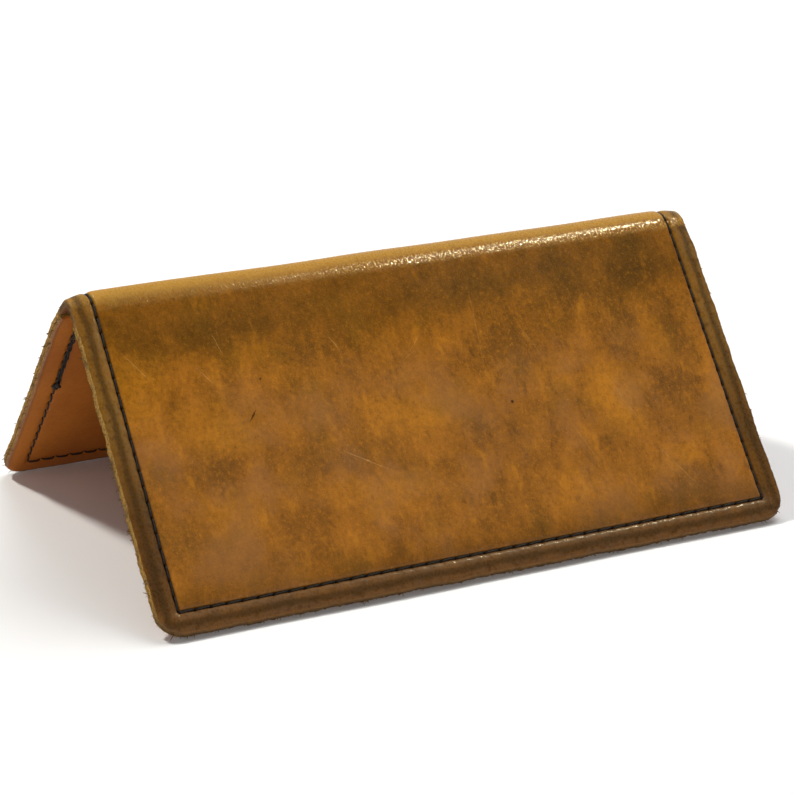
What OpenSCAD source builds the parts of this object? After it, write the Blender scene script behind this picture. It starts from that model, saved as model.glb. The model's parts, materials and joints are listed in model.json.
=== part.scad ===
// Folding leather chequebook cover, standing as a tent on its two free edges.
// One outer leather is folded at a rounded spine. A thinner pocket leather is
// stitched inside each panel, its open mouth facing the fold.
// X runs along the fold, Z is up, the floor is Z = 0, units are millimetres.

/* [Overall] */
// Width of the cover along the fold
cover_w = 171; // [120:1:220]
// Height of one panel, from the sharp fold line down its outer face to the free edge
panel_h = 90.2; // [60:0.1:120]
// Angle between the two panels as it stands
tent_angle = 81.5; // [60:0.5:110]
// Radius of the two free corners of each panel
corner_r = 6; // [2:0.5:12]

/* [Leather] */
// Thickness of the outer leather
cover_t = 2.0; // [1.4:0.1:3]
// Thickness of each pocket leather
pocket_t = 1.2; // [0.8:0.1:2]
// Outer radius of the rounded fold
fold_r = 5.9; // [4.5:0.1:9]
// Flat strip beside the fold that bends with it
fold_flat = 1.0; // [0.5:0.1:3]
// Slit left at each bending line
fold_slit = 0.2; // [0.1:0.05:0.6]

/* [Pockets] */
// Height of the room inside each pocket
pocket_room = 0.9; // [0.5:0.1:2]
// Distance from the end of the rounded fold down to the pocket's mouth
mouth_drop = 3.6; // [2:0.1:12]
// Glued margin between the seam and the pocket's room
glue_margin = 1.6; // [1:0.1:4]
// Width of the slope where the pocket leather rises off the margin
slope_w = 3.0; // [1:0.5:8]

/* [Seam] */
// Distance of the seam from the cut edge
seam_inset = 5.5; // [3.5:0.1:9]
// Length of one stitch
stitch_pitch = 4.0; // [2.5:0.1:6]
// Thickness of the waxed thread
thread_d = 0.75; // [0.5:0.05:1]
// Width of the groove the thread lies in
groove_w = 1.2; // [0.9:0.1:2]
// Depth of that groove
groove_d = 0.8; // [0.5:0.05:1]
// Clearance between a thread and the wall of its hole
hole_gap = 0.12; // [0.05:0.01:0.3]
// Distance of the knot from the end of the rounded fold
knot_drop = 36.5; // [20:1:70]
// Radius of the knot
knot_r = 1.15; // [0.8:0.05:1.5]
// Number of doubled stitches above the knot
double_n = 6; // [2:1:8]

/* [Hidden] */
$fn = 48;
eps = 0.01;
// leather left between a bending line and the nearest hole
hole_land = 0.3;
// how far the thread sits below the outer face
thread_sink = 0.05;
// gap between the fold's thread and a panel's thread at a bending line
thread_hinge_gap = 0.6;
// gap between the knot and the doubled stitches, and between two of those stitches
knot_gap = 0.15;
double_gap = 0.5;
half = tent_angle / 2;
lean = 90 - half;
edge_t = cover_t + pocket_t;
apex_z = panel_h * cos(half) + edge_t * sin(half);
arc_z = apex_z - fold_r / sin(half);
panel_l = panel_h - fold_r / tan(half);
arc_l = fold_r * lean * PI / 180;
mid_r = fold_r - cover_t / 2;
// each end at a bending line is cut back so the leather can open flat and close, with a degree to spare
relief_out = cover_t / 2 * tan(lean / 2 + 1);
relief_in = cover_t / 2 * tan(half / 2 + 1);
end_y = fold_flat + fold_slit / 2 + max(relief_out, relief_in);
strip = fold_flat - fold_slit / 2 - max(relief_out, relief_in);

// seam lines and stitch spacing
seam_x = cover_w / 2 - seam_inset;
seam_y = panel_l - seam_inset;
hole_w = thread_d + 2 * hole_gap;
base_n = round(2 * seam_x / stitch_pitch);
base_p = 2 * seam_x / base_n;
side_n = round((seam_y + arc_l) / stitch_pitch);
side_p = (seam_y + arc_l) / side_n;
// holes of a side run, counted from the middle of the fold
function drop(k) = k * side_p - arc_l;
first_k = ceil((end_y + hole_w / 2 + hole_land + arc_l) / side_p);
first_y = drop(first_k);
fold_k = [for (k = [0:side_n]) if (drop(k) < strip - hole_w / 2 - hole_land) k];

// Part to draw

// ---- placing: a panel is drawn flat, Y = 0 at the end of the rounded fold,
// ---- free edge at Y = -panel_l, outer face at Z = 0, leather below it

module on_front() {
    translate([0, -fold_r * cos(half), arc_z + fold_r * sin(half)])
        rotate([lean, 0, 0]) children();
}

module on_rear() {
    mirror([0, 1, 0]) on_front() children();
}

// profile in Y and Z drawn along X
module along_x(len) {
    rotate([90, 0, 90]) linear_extrude(height = len, center = true) children();
}

// profile in X and Z drawn along Y
module along_y(len) {
    rotate([90, 0, 0]) linear_extrude(height = len, center = true) children();
}

// ---- flat shapes

module panel_outline(top) {
    translate([-cover_w / 2, -panel_l + corner_r]) square([cover_w, panel_l - corner_r - top]);
    translate([-cover_w / 2 + corner_r, -panel_l]) square([cover_w - 2 * corner_r, corner_r + eps]);
    for (s = [-1, 1])
        translate([s * (cover_w / 2 - corner_r), -panel_l + corner_r]) circle(r = corner_r);
}

module stitch_holes() {
    for (i = [0:base_n])
        translate([-seam_x + i * base_p, -seam_y]) square(hole_w, center = true);
    for (s = [-1, 1]) for (k = [first_k:side_n - 1])
        translate([s * seam_x, -drop(k)]) square(hole_w, center = true);
}

module groove_lines() {
    translate([-seam_x - groove_w / 2, -seam_y - groove_w / 2]) square([2 * seam_x + groove_w, groove_w]);
    for (s = [-1, 1])
        translate([s * seam_x - groove_w / 2, -seam_y]) square([groove_w, seam_y + 1]);
}

// ---- outer leather

// profile of the leather's end at a bending line, starting inside the panel
module bevelled_end() {
    tip = max(relief_out, relief_in);
    polygon([[-hole_land, 0], [tip - relief_out, 0], [tip, -cover_t / 2],
             [tip - relief_in, -cover_t], [-hole_land, -cover_t]]);
}

module cover_panel() {
    difference() {
        union() {
            translate([0, 0, -cover_t]) linear_extrude(height = cover_t) panel_outline(end_y);
            translate([0, -end_y, 0]) along_x(cover_w) bevelled_end();
        }
        translate([0, 0, -groove_d]) linear_extrude(height = groove_d + 1) groove_lines();
        translate([0, 0, -cover_t - 1]) linear_extrude(height = cover_t + 2) stitch_holes();
    }
}

// ring sector about the fold's centre, to the stated angle either side of the top
module sector(r_in, r_out, a) {
    reach = 4 * r_out;
    intersection() {
        difference() {
            circle(r = r_out);
            circle(r = r_in);
        }
        polygon([[0, 0], [-reach * sin(a), reach * cos(a)], [0, 2 * reach], [reach * sin(a), reach * cos(a)]]);
    }
}

// points of an arc about the fold's centre, from angle a0 to a1 off the top
function arc(r, a0, a1, n = 24) =
    [for (i = [0:n]) let (a = a0 + (a1 - a0) * i / n) [r * sin(a), r * cos(a)]];

// point at a run of y past the arc's end and z above the outer face
function past_end(side, y, z) =
    [side * (fold_r + z) * sin(lean) + side * y * cos(lean),
     (fold_r + z) * cos(lean) - y * sin(lean)];

// the rounded fold, with a short flat strip and a bevelled end on each side
module spine_profile() {
    tip = strip + max(relief_out, relief_in);
    polygon(concat(
        arc(fold_r, -lean, lean),
        [past_end(1, tip - relief_out, 0),
         past_end(1, tip, -cover_t / 2),
         past_end(1, tip - relief_in, -cover_t)],
        arc(fold_r - cover_t, lean, -lean),
        [past_end(-1, tip - relief_in, -cover_t),
         past_end(-1, tip, -cover_t / 2),
         past_end(-1, tip - relief_out, 0)]));
}

module spine_body() {
    translate([0, 0, arc_z]) difference() {
        along_x(cover_w) spine_profile();
        for (s = [-1, 1]) translate([s * seam_x, 0, 0]) {
            along_x(groove_w) difference() {
                circle(r = fold_r + 3);
                circle(r = fold_r - groove_d);
            }
            for (k = fold_k) for (m = [-1, 1])
                rotate([m * (drop(k) + arc_l) / fold_r * 180 / PI, 0, 0])
                    translate([0, 0, mid_r]) cube([hole_w, hole_w, 3 * cover_t], center = true);
        }
    }
}

// ---- pocket leathers

// a low tray open toward the fold, sloping at its other three sides
module tray(y_open) {
    x0 = seam_x - glue_margin;
    y0 = seam_y - glue_margin;
    intersection() {
        translate([0, -panel_l / 2, 0]) along_y(panel_l + 10)
            polygon([[-x0 - slope_w, pocket_room], [-x0, 0], [-x0 + slope_w, -pocket_room],
                     [x0 - slope_w, -pocket_room], [x0, 0], [x0 + slope_w, pocket_room]]);
        along_x(cover_w)
            polygon([[-y0 - slope_w, pocket_room], [-y0, 0], [-y0 + slope_w, -pocket_room],
                     [-y_open, -pocket_room], [-y_open, pocket_room]]);
        translate([0, -panel_l / 2, -pocket_room / 2])
            cube([cover_w, panel_l + 20, pocket_room + 2 * eps], center = true);
    }
}

module pocket_panel() {
    difference() {
        union() {
            translate([0, 0, -edge_t]) linear_extrude(height = pocket_t) panel_outline(mouth_drop);
            translate([0, 0, -edge_t]) tray(mouth_drop);
        }
        translate([0, 0, -cover_t]) tray(mouth_drop - 2);
        translate([0, 0, -edge_t - 1]) linear_extrude(height = edge_t) stitch_holes();
    }
}

// ---- thread

module side_thread_profile() {
    translate([-seam_y - thread_d / 2, -groove_d])
        square([seam_y + thread_d / 2 - fold_flat - thread_hinge_gap, groove_d - thread_sink]);
    translate([-seam_y - thread_d / 2, -edge_t - thread_d])
        square([seam_y - first_y + thread_d, thread_d]);
    for (k = [first_k:side_n])
        translate([-drop(k) - thread_d / 2, -edge_t - thread_d / 2])
            square([thread_d, edge_t + thread_d / 2 - groove_d / 2]);
}

module base_thread_profile() {
    translate([-seam_x - thread_d / 2, -groove_d]) square([2 * seam_x + thread_d, groove_d - thread_sink]);
    translate([-seam_x - thread_d / 2, -edge_t - thread_d]) square([2 * seam_x + thread_d, thread_d]);
    for (i = [0:base_n])
        translate([-seam_x + i * base_p - thread_d / 2, -edge_t - thread_d / 2])
            square([thread_d, edge_t + thread_d / 2 - groove_d / 2]);
}

module panel_thread() {
    for (s = [-1, 1]) translate([s * seam_x, 0, 0]) along_x(thread_d) side_thread_profile();
    translate([0, -seam_y, 0]) along_y(thread_d) base_thread_profile();
}

// the short run that crosses the fold at one end
module fold_thread(side) {
    a = drop(fold_k[len(fold_k) - 1]) + arc_l;
    translate([side * seam_x, 0, arc_z]) along_x(thread_d) {
        sector(fold_r - groove_d, fold_r - thread_sink, lean - 1);
        sector(fold_r - cover_t - thread_d, fold_r - cover_t, a / fold_r * 180 / PI);
        for (k = fold_k) for (m = [-1, 1])
            rotate(m * (drop(k) + arc_l) / fold_r * 180 / PI)
                translate([-thread_d / 2, fold_r - cover_t - thread_d / 2])
                    square([thread_d, cover_t + thread_d / 2 - groove_d / 2]);
    }
}

module knot_shape() {
    z = -edge_t - thread_d;
    translate([-seam_x, -knot_drop, z]) difference() {
        sphere(r = knot_r);
        translate([-thread_d / 2, -5, 0]) cube([thread_d, 10, 5]);
        translate([-5, -5, thread_d]) cube([10, 10, 5]);
    }
}

module double_shape() {
    y0 = -knot_drop + knot_r + knot_gap;
    translate([-seam_x + thread_d, 0, -edge_t]) along_x(thread_d) union() {
        translate([y0, -thread_d * 0.6]) square([double_n * side_p, thread_d * 0.6]);
        for (i = [0:double_n - 1])
            translate([y0 + i * side_p, -thread_d]) square([side_p - double_gap, thread_d]);
    }
}

// ---- sub-parts

module rear_cover() { color([0.62, 0.33, 0.13]) on_rear() cover_panel(); }
module front_cover() { color([0.62, 0.33, 0.13]) on_front() cover_panel(); }
module spine() { color([0.66, 0.36, 0.15]) spine_body(); }
module rear_pocket() { color([0.72, 0.40, 0.17]) on_rear() pocket_panel(); }
module front_pocket() { color([0.72, 0.40, 0.17]) on_front() pocket_panel(); }
module rear_thread() { color([0.05, 0.05, 0.05]) on_rear() panel_thread(); }
module front_thread() { color([0.05, 0.05, 0.05]) on_front() panel_thread(); }
module spine_thread_left() { color([0.05, 0.05, 0.05]) fold_thread(-1); }
module spine_thread_right() { color([0.05, 0.05, 0.05]) fold_thread(1); }
module overlap_stitches() { color([0.05, 0.05, 0.05]) on_rear() double_shape(); }
module thread_knot() { color([0.05, 0.05, 0.05]) on_rear() knot_shape(); }

rear_cover();
front_cover();
spine();
rear_pocket();
front_pocket();
rear_thread();
front_thread();
spine_thread_left();
spine_thread_right();
overlap_stitches();
thread_knot();
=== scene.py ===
"""Looks for a folded leather checkbook cover that stands as a tent.

Everything is laid out on the flat, unfolded leather first: u runs along the fold, s runs across it
(negative toward the front panel, positive toward the rear one) and h stands off the outer face.
place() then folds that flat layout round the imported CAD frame. Lengths are millimetres until a mesh is made.
"""

import json
import math

import bpy
import numpy as np
from mathutils import Matrix, Vector


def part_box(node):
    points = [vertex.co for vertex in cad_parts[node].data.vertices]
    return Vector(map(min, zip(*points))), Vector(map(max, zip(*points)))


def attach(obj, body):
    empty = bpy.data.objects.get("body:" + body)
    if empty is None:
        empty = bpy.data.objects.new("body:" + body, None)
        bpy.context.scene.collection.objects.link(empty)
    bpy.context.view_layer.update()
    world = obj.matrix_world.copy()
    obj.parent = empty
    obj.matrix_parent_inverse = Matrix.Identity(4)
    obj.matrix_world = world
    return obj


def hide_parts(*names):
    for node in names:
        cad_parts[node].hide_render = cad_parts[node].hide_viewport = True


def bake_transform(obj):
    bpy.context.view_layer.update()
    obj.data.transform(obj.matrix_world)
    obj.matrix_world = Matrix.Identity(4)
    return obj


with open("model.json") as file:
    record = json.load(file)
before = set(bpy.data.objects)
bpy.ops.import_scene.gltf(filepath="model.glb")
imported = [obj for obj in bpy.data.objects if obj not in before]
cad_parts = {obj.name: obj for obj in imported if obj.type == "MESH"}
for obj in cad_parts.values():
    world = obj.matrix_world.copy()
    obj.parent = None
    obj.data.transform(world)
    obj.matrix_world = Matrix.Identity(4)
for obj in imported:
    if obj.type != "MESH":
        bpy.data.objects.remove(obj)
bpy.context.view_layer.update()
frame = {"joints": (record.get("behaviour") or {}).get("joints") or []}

# ---- sizes ----

MM = 0.001
COVER_T = 2.0
POCKET_T = 1.2
LAYERS_T = COVER_T + POCKET_T
FOLD_R = 5.9
CORNER_R = 6.0
SEAM_IN = 5.5
MOUTH_DROP = 3.6
THREAD_R = 0.29
STITCH = 4.0

spine_low, spine_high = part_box("spine")
cover_low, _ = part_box("front_cover")
WIDTH = (spine_high.x - spine_low.x) / MM
LEAN = math.radians(frame["joints"][0]["range_deg"][1])
ARC_Z = spine_high.z / MM - FOLD_R
ARC = FOLD_R * LEAN
PANEL = (-cover_low.y / MM - FOLD_R * math.sin(LEAN)) / math.cos(LEAN)
HALF_W = WIDTH / 2
S_END = ARC + PANEL
SEAM_U = HALF_W - SEAM_IN
SEAM_S = S_END - SEAM_IN
BASE_N = round(2 * SEAM_U / STITCH)
SIDE_N = round(SEAM_S / STITCH)
BASE_P = 2 * SEAM_U / BASE_N
SIDE_P = SEAM_S / SIDE_N
MOUTH_S = ARC + MOUTH_DROP
FLAT_ZONE = 8.8

rng = np.random.RandomState(11)


# ---- camera ----

CAMERA_TURN = (-0.458, 0.3588, 0.0056)
CAMERA_AT = (-0.2916, -0.5976, 0.2770)
CAMERA_LENS = 125.2


def make_camera():
    """A long lens from the front left, a little above the cover."""
    yaw, pitch, roll = CAMERA_TURN
    right = Vector((math.cos(yaw), math.sin(yaw), 0))
    ahead = Vector((-math.sin(yaw) * math.cos(pitch), math.cos(yaw) * math.cos(pitch), -math.sin(pitch)))
    up = right.cross(ahead)
    x_axis = right * math.cos(roll) + up * math.sin(roll)
    y_axis = up * math.cos(roll) - right * math.sin(roll)
    data = bpy.data.cameras.new("camera")
    data.sensor_width = 36
    data.lens = CAMERA_LENS
    data.clip_start = 0.01
    cam = bpy.data.objects.new("camera", data)
    turn = Matrix((x_axis, y_axis, -ahead)).transposed()
    cam.matrix_world = Matrix.Translation(CAMERA_AT) @ turn.to_4x4()
    bpy.context.scene.collection.objects.link(cam)
    bpy.context.scene.camera = cam


# ---- the flat layout and how it folds ----

def waves(seed, count, shortest, longest):
    """A smooth random function of one variable, about -1 to 1, made of a few sines."""
    r = np.random.RandomState(seed)
    k = 2 * math.pi / np.exp(r.uniform(math.log(shortest), math.log(longest), count))
    phase = r.uniform(0, 2 * math.pi, count)
    size = r.uniform(0.5, 1, count)
    size /= np.sqrt((size ** 2).sum()) * 1.2

    def value(x):
        return (size * np.sin(np.multiply.outer(np.asarray(x, float), k) + phase)).sum(-1)

    return value


def smooth(x, lo, hi):
    t = np.clip((np.asarray(x, float) - lo) / (hi - lo), 0, 1)
    return t * t * (3 - 2 * t)


wave_u = waves(1, 5, 35, 120)
wave_s = waves(2, 5, 35, 110)
wave_both = waves(3, 4, 45, 150)
outline_wave = waves(4, 14, 2.0, 40)
lip_wave = waves(5, 12, 1.5, 9)
edge_wave = waves(6, 26, 0.9, 7)
layer_wave = waves(7, 18, 1.2, 12)
BULGE_H = 0.40
CREST_SAG = 0.14
DROOP_LEFT = 1.0
DROOP_RIGHT = 0.65


def round_corner(u, s):
    """Turns the square free corners of the flat layout into round ones."""
    a = np.abs(u) - (HALF_W - CORNER_R)
    b = np.abs(s) - (S_END - CORNER_R)
    inside = (a > 0) & (b > 0)
    top = np.maximum(a, b)
    scale = np.where(inside, top / np.maximum(np.hypot(a, b), 1e-9), 1)
    u2 = np.where(inside, np.sign(u) * (HALF_W - CORNER_R + a * scale), u)
    s2 = np.where(inside, np.sign(s) * (S_END - CORNER_R + b * scale), s)
    return u2, s2


def sag(u, s):
    """How far the hand-worked leather stands off a true plane."""
    across = np.abs(s)
    flat = smooth(across, 6, 30)
    edge = smooth(np.abs(u), 50, HALF_W)
    mid = (u / HALF_W) ** 2
    belly = BULGE_H * smooth(across, 2, 7.5) * smooth(-across, -60, -12) * (1 - 0.5 * mid)
    drooped = smooth(np.abs(u), SEAM_U - 1.0, HALF_W) * (1 - smooth(across, 4, 16))
    droop = np.where(u < 0, DROOP_LEFT, DROOP_RIGHT) * drooped
    crest = CREST_SAG * (1 - mid) * (1 - flat)
    waviness = 0.16 * wave_both(0.8 * u + 0.6 * s) * flat + 0.10 * wave_u(u + 0.3 * s)
    lift = 0.10 * edge * flat * (1 + wave_s(s))
    return belly - droop + waviness - crest - lift


def place(u, s, h, rounded=True):
    """Folds points of the flat layout into the standing tent. Returns millimetres."""
    u, s, h = np.broadcast_arrays(np.asarray(u, float), np.asarray(s, float), np.asarray(h, float))
    if rounded:
        u, s = round_corner(u, s)
    side = np.where(s < 0, -1.0, 1.0)
    angle = np.clip(np.abs(s), 0, ARC) / FOLD_R
    over = np.maximum(np.abs(s) - ARC, 0)
    off = h + sag(u, s)
    y = side * ((FOLD_R + off) * np.sin(angle) + over * math.cos(LEAN))
    z = ARC_Z + (FOLD_R + off) * np.cos(angle) - over * math.sin(LEAN)
    return np.stack([u, y, z], -1)


# ---- grids that are fine only where the seam and the fold need it ----

EDGE_STEPS = (
    0, 0.12, 0.3, 0.55, 0.9, 1.4, 2.1, 2.9, 3.6, 4.2, 4.65, 4.95,
    5.2, 5.5, 5.8, 6.05, 6.35, 6.8, 7.6, FLAT_ZONE,
)
HOLE_STEPS = (0, 0.09, 0.2, 0.5, 0.8, 0.91)
FOLD_ZONE = 12.5


def lines_along():
    """Lines across the u axis: (position, whether it runs the whole way)."""
    found = {}
    for e in EDGE_STEPS:
        found[round(-HALF_W + e, 4)] = True
        found[round(HALF_W - e, 4)] = True
    for k in range(BASE_N):
        for part in HOLE_STEPS:
            u = -SEAM_U + (k + part) * BASE_P
            if abs(u) < HALF_W - FLAT_ZONE - 0.4:
                found[round(u, 4)] = part == 0
    return sorted(found.items())


def lines_across(start):
    """Lines across the s axis, from start down to the free edge."""
    found = {round(S_END - e, 4): True for e in EDGE_STEPS}
    found[round(start, 4)] = True
    if start > 0:
        for e in (0.1, 0.25, 0.5, 0.9, 1.5):
            found[round(start + e, 4)] = True
    for k in range(SIDE_N):
        for part in HOLE_STEPS:
            s = (k + part) * SIDE_P
            if start + (1.8 if start else 0.2) < s < S_END - FLAT_ZONE - 0.4:
                found[round(s, 4)] = part == 0 or s < FOLD_ZONE
    return sorted(found.items())


def grid_cells(us, ss):
    """Polygons of the grid as lists of (i, j) keys. Short lines cut only the strips along the seam."""
    whole_u = [i for i, (_, whole) in enumerate(us) if whole]
    whole_s = [j for j, (_, whole) in enumerate(ss) if whole]
    cells = []
    for i0, i1 in zip(whole_u, whole_u[1:]):
        by_side = abs(us[i0][0] + us[i1][0]) / 2 > HALF_W - FLAT_ZONE
        for j0, j1 in zip(whole_s, whole_s[1:]):
            by_base = (ss[j0][0] + ss[j1][0]) / 2 > S_END - FLAT_ZONE
            cut_u = list(range(i0, i1 + 1)) if by_base else [i0, i1]
            cut_s = list(range(j0, j1 + 1)) if by_side else [j0, j1]
            cells += [(a, b, c, d) for a, b in zip(cut_u, cut_u[1:]) for c, d in zip(cut_s, cut_s[1:])]
    used = {(i, j) for a, b, c, d in cells for i in (a, b) for j in (c, d)}
    polygons = []
    for a, b, c, d in cells:
        ring = [(i, c) for i in range(a, b)] + [(b, j) for j in range(c, d)]
        ring += [(i, d) for i in range(b, a, -1)] + [(a, j) for j in range(d, c, -1)]
        polygons.append([key for key in ring if key in used])
    return used, polygons


def hole_distance(u, s):
    """Distance to the nearest stitch hole, and to the seam's line."""
    to_side = np.abs(np.abs(u) - SEAM_U)
    to_base = np.abs(np.abs(s) - SEAM_S)
    along_side = np.abs(np.abs(s) - np.round(np.abs(s) / SIDE_P) * SIDE_P)
    along_base = np.abs(u + SEAM_U - np.round((u + SEAM_U) / BASE_P) * BASE_P)
    outside_side = np.maximum(np.abs(s) - SEAM_S, 0)
    outside_base = np.maximum(np.abs(u) - SEAM_U, 0)
    side_line = np.hypot(to_side, outside_side)
    base_line = np.hypot(to_base, outside_base)
    hole = np.minimum(np.hypot(to_side, np.where(outside_side > 0, outside_side, along_side)),
                      np.hypot(to_base, np.where(outside_base > 0, outside_base, along_base)))
    return hole, np.minimum(side_line, base_line)


def edge_distance(u, s):
    return np.minimum(HALF_W - np.abs(u), S_END - np.abs(s))


# ---- strands: thread and loose fibres ----

# a strand's flat coordinates are (length, turn round it, 0), for the pattern of its twist
TURN_WIDTH = 2.5
TWIST_SHIFT = 0.013


def unit(vectors, least=0.0):
    """Vectors of length 1. least keeps a vanishing one from being divided by zero."""
    return vectors / np.maximum(np.linalg.norm(vectors, axis=-1, keepdims=True), least)


class Strands:
    """Collects round strands and joins them into one mesh."""

    def __init__(self, count=0):
        self.points, self.flats, self.faces, self.count = [], [], [], count

    def add(self, u, s, h, radius, sides=8, flatten=1.0, cap=True, rounded=True):
        """A strand through flat-layout points. radius may vary along it."""
        line = place(u, s, h, rounded)
        normal = unit(place(u, s, np.asarray(h) + 1.0, rounded) - line)
        tangent = unit(np.gradient(line, axis=0), 1e-9)
        across = unit(np.cross(tangent, normal), 1e-9)
        lift = np.cross(across, tangent)
        radius = np.broadcast_to(np.asarray(radius, float), np.shape(u))[:, None, None]
        a = np.linspace(0, 2 * math.pi, sides, endpoint=False)[None, :, None]
        ring = line[:, None] + radius * (np.cos(a) * across[:, None] + flatten * np.sin(a) * lift[:, None])
        self.points.append(ring.reshape(-1, 3))
        rows = len(line)
        turn = np.broadcast_to(np.linspace(0, 1, sides, endpoint=False)[None, :], (rows, sides))
        gone = np.concatenate([[0], np.cumsum(np.linalg.norm(np.diff(line, axis=0), axis=1))])
        gone = np.broadcast_to(gone[:, None] + self.count * TWIST_SHIFT, (rows, sides))
        flat = np.stack([gone, turn * TURN_WIDTH, np.zeros_like(gone)], -1)
        self.flats.append(flat.reshape(-1, 3))
        self.add_faces(rows, sides, cap)
        self.count += rows * sides

    def add_faces(self, rows, sides, cap):
        """Quads along the newest strand, and its two ends."""
        base = self.count
        for r in range(rows - 1):
            p, q = base + r * sides, base + (r + 1) * sides
            for k in range(sides):
                m = (k + 1) % sides
                self.faces.append([p + k, q + k, q + m, p + m])
        if cap:
            self.faces.append([base + k for k in range(sides)])
            self.faces.append([base + (rows - 1) * sides + k for k in reversed(range(sides))])

    def build(self, name, material):
        points, flats = np.concatenate(self.points), np.concatenate(self.flats)
        return make_mesh(name, points, self.faces, flats, [0] * len(self.faces), [material])


def rim_point(way):
    """A point of the rounded outline and its outward direction. way runs from 0 (fold, left) to 1 (right)."""
    side_run = S_END - CORNER_R
    turn = CORNER_R * math.pi / 2
    base_run = WIDTH - 2 * CORNER_R
    whole = 2 * side_run + 2 * turn + base_run
    x = way * whole
    mirror = -1
    if x > whole / 2:
        x, mirror = whole - x, 1
    if x < side_run:
        return mirror * HALF_W, x, mirror, 0.0
    a = min((x - side_run) / CORNER_R, math.pi / 2)
    u = HALF_W - CORNER_R + CORNER_R * math.cos(a) - max(x - side_run - turn, 0)
    return mirror * u, S_END - CORNER_R + CORNER_R * math.sin(a), mirror * math.cos(a), math.sin(a)


FIBRES = 260
FIBRE_ROOT = 0.40
TUFT_SHARE = 0.22


def add_fibres(strands, side, start, h_top, h_back, count, seed):
    """Loose leather fibres and tufts that stick out of a cut edge. They are thickest on the left."""
    r = np.random.RandomState(seed)
    n = np.linspace(0, 1, 5)
    placed = 0
    while placed < count:
        way = r.uniform(0, 1)
        u, s, du, ds = rim_point(way)
        density = 0.48 + 0.52 * (u < -HALF_W + 12)
        clump = 0.35 + 0.65 * (edge_wave(np.array(way * 700.0 + seed)) > 0.2)
        if s < start + 1 or r.uniform(0, 1) > density * clump:
            continue
        placed += 1
        tuft = r.uniform(0, 1) < TUFT_SHARE
        length = r.uniform(0.45, 1.15) if tuft else r.uniform(0.15, 0.50)
        thick = r.uniform(0.11, 0.21) if tuft else r.uniform(0.04, 0.09)
        along = r.uniform(-1.1, 1.1)
        lift = r.uniform(-0.7, 0.7)
        curl = r.uniform(-0.7, 0.7)
        out = -FIBRE_ROOT + (length + FIBRE_ROOT) * n
        slide = length * (along * n + curl * n ** 2)
        fu = u + du * out - ds * slide
        fs = side * (s + ds * out + abs(du) * slide)
        h = h_back + (h_top - h_back) * r.uniform(0.15, 0.85) + length * lift * n
        strands.add(fu, fs, h, thick * (1 - 0.75 * n), sides=5, rounded=False)


# ---- leather shells ----

EDGE_ROUND = 0.55
PILLOW_TOP = 2.8
PILLOW_OUTSIDE = 0.26
PILLOW_INSIDE = 0.50
PRESS_DEPTH = 0.46
PRESS_REACH = 0.8
GROOVE_DEPTH = 0.50
GROOVE_HALF = 0.45
HOLE_DEPTH = 0.70
HOLE_R = 0.40
CUT_WOBBLE = 0.15
WOBBLE_REACH = 1.5
EDGE_STRIP = 0.2
RIM_LEVELS = (0.12, 0.3, 0.5, 0.7, 0.88)
RIM_ROUGH = 0.12
RIM_BULGE = 0.04
FACE_KIND, RIM_KIND, BACK_KIND = 0, 1, 2


def rounding(d, radius):
    """How much lower a face lies near its edge, when the edge is rounded off."""
    near = np.clip(radius - d, 0, radius)
    return radius - np.sqrt(np.maximum(radius ** 2 - near ** 2, 0))


def outer_height(u, s):
    """The outer face: a rounded edge, a pillowed border and the stitching groove."""
    d = edge_distance(u, s)
    hole, line = hole_distance(u, s)
    path = np.where(np.abs(np.abs(u) - SEAM_U) < np.abs(np.abs(s) - SEAM_S), s, u + 400)
    lip = 1 + 0.25 * lip_wave(path)
    pillow = np.where(d < PILLOW_TOP, PILLOW_OUTSIDE, PILLOW_INSIDE) * ((d - PILLOW_TOP) / PILLOW_TOP) ** 2
    h = -rounding(d, EDGE_ROUND)
    h = h - pillow * (d < SEAM_IN)
    h = h - PRESS_DEPTH * np.exp(-(d - SEAM_IN) / PRESS_REACH) * (d >= SEAM_IN)
    h = h - GROOVE_DEPTH * np.exp(-(line / GROOVE_HALF) ** 4) * lip
    return h - HOLE_DEPTH * np.exp(-(hole / HOLE_R) ** 2) - 0.12 * np.exp(-(hole / 1.0) ** 2)


def cover_back_height(u, s):
    """The flesh side of the cover, drawn in at the holes."""
    hole, _ = hole_distance(u, s)
    return -COVER_T + rounding(edge_distance(u, s), 0.3) * 0.8 + 0.5 * np.exp(-(hole / 0.5) ** 2)


def pocket_gap(u, s):
    """Room between the cover and the pocket leather: it stands a little open at its mouth."""
    from_side = smooth(edge_distance(u, s), SEAM_IN + 1.2, SEAM_IN + 16)
    from_base = smooth(S_END - np.abs(s), SEAM_IN + 1.2, SEAM_IN + 30)
    return (0.22 + 0.33 * smooth(-np.abs(s), -MOUTH_S - 25, -MOUTH_S)) * from_side * from_base


def pocket_back_height(u, s):
    """The hidden face of the pocket leather, which lies on the cover."""
    return -COVER_T - rounding(edge_distance(u, s), 0.25) - pocket_gap(u, s)


def pocket_face_height(u, s):
    """The pocket's visible face, with its rounded edge and the pull of the stitches."""
    d = np.minimum(edge_distance(u, s), np.abs(s) - MOUTH_S)
    hole, line = hole_distance(u, s)
    h = -LAYERS_T - pocket_gap(u, s) + rounding(d, 0.5)
    return h + 0.20 * np.exp(-(line / 0.7) ** 2) + 0.45 * np.exp(-(hole / 0.5) ** 2)


def outward(u, s):
    """Unit direction, in the flat layout, that leaves the outline."""
    cu = np.clip(u, -HALF_W + CORNER_R, HALF_W - CORNER_R)
    cs = np.sign(s) * np.minimum(np.abs(s), S_END - CORNER_R)
    du, ds = u - cu, s - cs
    length = np.maximum(np.hypot(du, ds), 1e-6)
    return du / length, ds / length


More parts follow.
